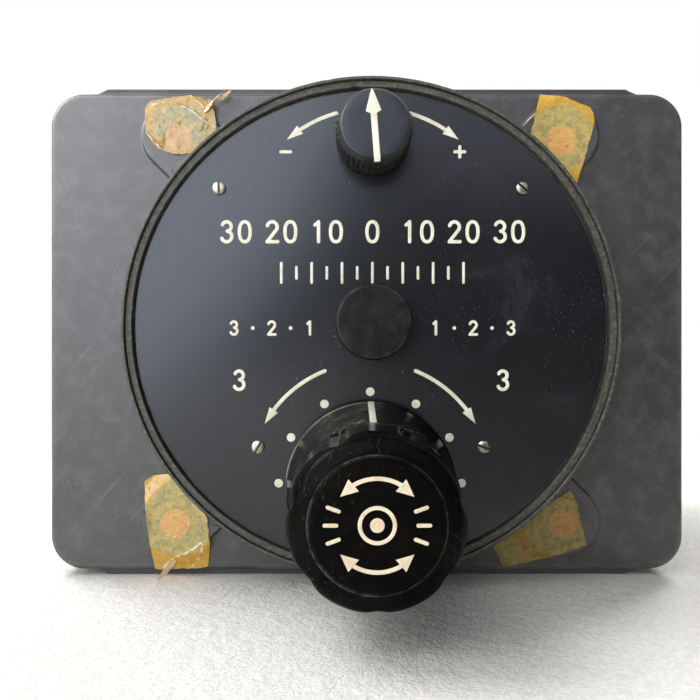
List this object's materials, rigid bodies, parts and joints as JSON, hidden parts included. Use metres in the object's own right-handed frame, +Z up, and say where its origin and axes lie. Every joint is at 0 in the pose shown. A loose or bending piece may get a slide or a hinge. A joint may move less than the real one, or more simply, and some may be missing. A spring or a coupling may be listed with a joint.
{
  "type": "autopilot controller",
  "caption": "Panel controller for an automatic pilot: cast case, round dial in a bezel, push and turn knob, alignment knob and gain knob, with a rear plug connector.",
  "frame": {"origin": "centre of the four panel bolts, on the front faces of the lugs", "axes": "+X to the right seen from the front, +Y back into the panel, +Z up"},
  "size_m": [0.178, 0.184, 0.1372],
  "materials": {
    "case_paint": "satin, worn at the edges",
    "bezel_paint": "satin, rubbed at the edges",
    "dial_paint": "satin",
    "inlay_paint": "matt",
    "bakelite": "moulded, glossy, dusty",
    "knob_plastic": "dusty and scratched",
    "screw_steel": "nickel plated",
    "shaft_steel": "ground",
    "spring_steel": "drawn wire",
    "brass": "turned",
    "deck_metal": "sheet",
    "transmitter_metal": "satin",
    "tape": "aged, wrinkled and yellow",
    "gasket_rubber": "moulded",
    "phenolic": "laminate",
    "insulator": "moulded",
    "harness": "waxed braid",
    "connector_metal": "satin",
    "contact_metal": "plated"
  },
  "bodies": {
    "case": {"case_body": "case_paint", "mount_inserts": "brass", "rear_cover": "case_paint", "cover_gasket": "gasket_rubber", "cover_screws": "screw_steel", "bezel_ring": "bezel_paint", "bezel_screws": "screw_steel", "retaining_ring": "bezel_paint", "face_plate": "dial_paint", "plate_marks": "inlay_paint", "face_screws": "screw_steel", "face_posts": "brass", "seal_tapes": "tape", "front_deck": "deck_metal", "rear_deck": "deck_metal", "deck_spacers": "brass", "deck_screws": "screw_steel", "deck_pins": "shaft_steel", "spring_washer": "screw_steel", "turn_bushing": "brass", "rear_bush": "brass", "switch_body": "insulator", "switch_bracket": "deck_metal", "turn_transmitter": "transmitter_metal", "align_transmitter": "transmitter_metal", "transmitter_cleats": "deck_metal", "align_bushing": "brass", "panel_nuts": "brass", "gain_pot": "insulator", "pot_cover": "deck_metal", "terminal_board": "phenolic", "wire_harness": "harness", "connector_shell": "connector_metal", "connector_insert": "insulator", "connector_pins": "contact_metal", "connector_screws": "screw_steel"},
    "turn_drive": {"turn_sleeve": "shaft_steel", "turn_gear": "brass", "detent_cam": "shaft_steel", "sleeve_clip": "spring_steel"},
    "turn_button": {"turn_knob": "bakelite", "knob_cap": "bakelite", "knob_insert": "brass", "knob_set_screws": "screw_steel", "pointer_line": "inlay_paint", "turn_shaft": "shaft_steel", "shaft_collar": "shaft_steel", "drive_pin": "shaft_steel", "return_spring": "spring_steel"},
    "turn_output": {"turn_rotor": "brass"},
    "plunger": {"switch_plunger": "brass"},
    "detent": {"detent_arm": "spring_steel", "detent_roller": "brass"},
    "alignment": {"align_knob": "knob_plastic", "align_shaft": "shaft_steel", "align_gear": "brass"},
    "align_output": {"align_rotor": "brass"},
    "gain": {"gain_knob": "knob_plastic", "gain_arrow": "inlay_paint", "gain_shaft": "shaft_steel"}
  },
  "joints": [
    {"name": "turn_hinge", "type": "hinge", "parent": "case", "child": "turn_drive", "pos_m": [-0.0002, 0, -0.0422], "axis": [0, 1, 0], "range_deg": [-90, 90]},
    {"name": "turn_push", "type": "slide", "parent": "turn_drive", "child": "turn_button", "axis": [0, 1, 0], "range_m": [0, 0.002], "stiffness_N_per_m": 900, "springref_m": -0.004, "deforming": ["return_spring"]},
    {"name": "turn_output_spin", "type": "hinge", "parent": "case", "child": "turn_output", "pos_m": [0.02667, 0, -0.02339], "axis": [0, 1, 0], "range_deg": [-118, 118]},
    {"name": "switch_travel", "type": "slide", "parent": "case", "child": "plunger", "axis": [0, 1, 0], "range_m": [0, 0.002]},
    {"name": "detent_lift", "type": "hinge", "parent": "case", "child": "detent", "pos_m": [-0.02, 0, -0.024], "axis": [0, -1, 0], "range_deg": [0, 8], "stiffness_Nm_per_rad": 0.05, "springref_deg": -17.19},
    {"name": "align_hinge", "type": "hinge", "parent": "case", "child": "alignment", "pos_m": [0.0004, 0, 0.001], "axis": [0, 1, 0], "range_deg": [-165, 165]},
    {"name": "align_output_spin", "type": "hinge", "parent": "case", "child": "align_output", "pos_m": [-0.02633, 0, 0.01462], "axis": [0, 1, 0], "range_deg": [-112, 112]},
    {"name": "gain_hinge", "type": "hinge", "parent": "case", "child": "gain", "pos_m": [0.0005, 0, 0.0506], "axis": [0, 1, 0], "range_deg": [-140, 140]}
  ],
  "couplings": [
    {"joint": "turn_output_spin", "follows": "turn_hinge", "ratio": -1.2778},
    {"joint": "align_output_spin", "follows": "align_hinge", "ratio": -0.66667},
    {"joint": "switch_travel", "follows": "turn_push", "ratio": 1}
  ]
}
